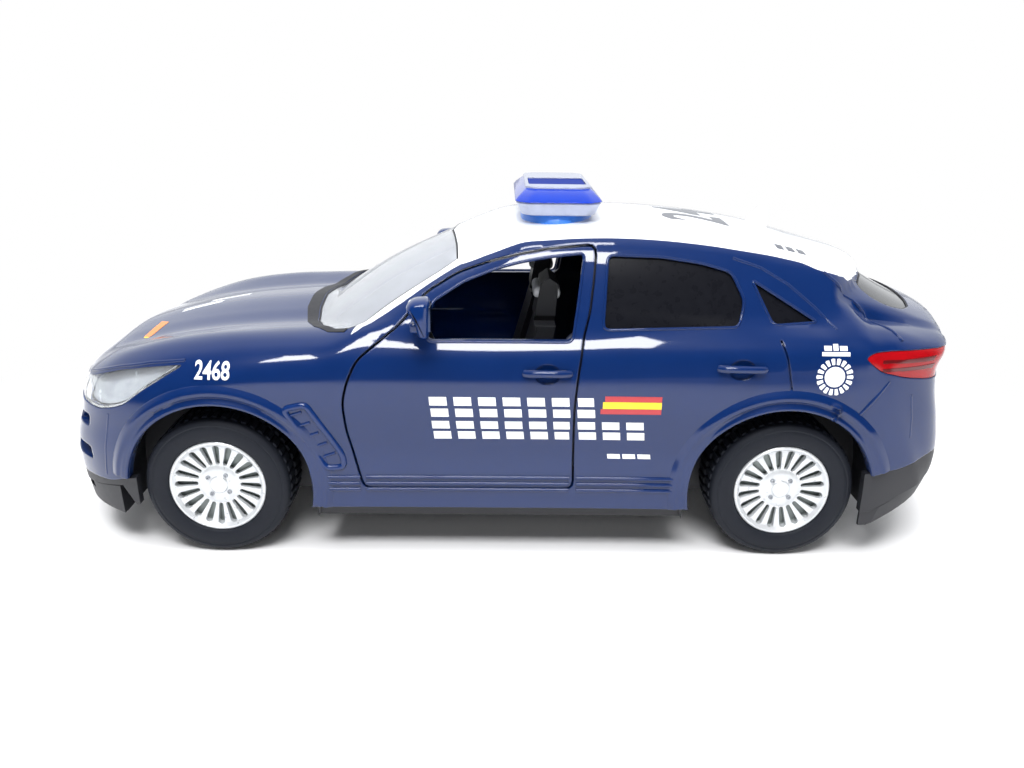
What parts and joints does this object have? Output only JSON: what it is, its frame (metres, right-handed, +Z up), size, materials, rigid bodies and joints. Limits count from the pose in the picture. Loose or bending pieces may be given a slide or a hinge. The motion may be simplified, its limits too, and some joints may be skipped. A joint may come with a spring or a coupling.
{
  "type": "toy police patrol car",
  "caption": "Die-cast toy patrol car, a crossover coupe with a roof light bar, opening front doors and free-rolling wheels.",
  "frame": {"origin": "on the ground under the middle of the car's bounding box", "axes": "+X to the nose, +Y to the car's left side, +Z up"},
  "size_m": [0.1171, 0.0532, 0.0457],
  "materials": {
    "navy_paint": "gloss",
    "navy_plastic": "gloss",
    "white_paint": "gloss",
    "black_plastic": "matt",
    "grey_plastic": "matt",
    "clear_plastic": "clear",
    "smoked_plastic": "smoked",
    "black_glazing": "gloss",
    "lamp_clear": "clear",
    "lamp_red": "gloss",
    "silver_plastic": "silver gloss",
    "blue_plastic": "translucent gloss",
    "steel": "bright",
    "soft_tyre": "matt"
  },
  "bodies": {
    "car": {"body_shell": "navy_paint", "base": "black_plastic", "cabin_tub": "black_plastic", "seat_front_left": "black_plastic", "seat_front_right": "black_plastic", "seat_rear": "black_plastic", "dashboard": "black_plastic", "steering_wheel": "black_plastic", "motor_housing": "grey_plastic", "windscreen": "clear_plastic", "rear_window": "smoked_plastic", "side_glazing_left": "black_glazing", "side_glazing_right": "black_glazing", "headlamp_left": "lamp_clear", "headlamp_right": "lamp_clear", "tail_lamp_left": "lamp_red", "tail_lamp_right": "lamp_red", "grille": "silver_plastic", "light_bar_base": "silver_plastic", "light_bar_lens": "blue_plastic", "antenna_fin": "white_paint"},
    "left_door": {"door_left": "navy_paint", "mirror_left": "navy_plastic"},
    "right_door": {"door_right": "navy_paint", "mirror_right": "navy_plastic"},
    "front_wheels": {"axle_front": "steel", "hub_front_left": "silver_plastic", "hub_front_right": "silver_plastic", "tyre_front_left": "soft_tyre", "tyre_front_right": "soft_tyre"},
    "rear_wheels": {"axle_rear": "steel", "hub_rear_left": "silver_plastic", "hub_rear_right": "silver_plastic", "tyre_rear_left": "soft_tyre", "tyre_rear_right": "soft_tyre"}
  },
  "joints": [
    {"name": "door_left_hinge", "type": "hinge", "parent": "car", "child": "left_door", "pos_m": [0.0155, 0.022, 0.009], "axis": [0, 0, -1], "range_deg": [0, 60]},
    {"name": "door_right_hinge", "type": "hinge", "parent": "car", "child": "right_door", "pos_m": [0.0155, -0.022, 0.009], "axis": [0, 0, 1], "range_deg": [0, 60]},
    {"name": "front_axle_spin", "type": "hinge", "parent": "car", "child": "front_wheels", "pos_m": [0.036, 0, 0.0093], "axis": [0, 1, 0], "continuous": true},
    {"name": "rear_axle_spin", "type": "hinge", "parent": "car", "child": "rear_wheels", "pos_m": [-0.036, 0, 0.0093], "axis": [0, 1, 0], "continuous": true}
  ]
}
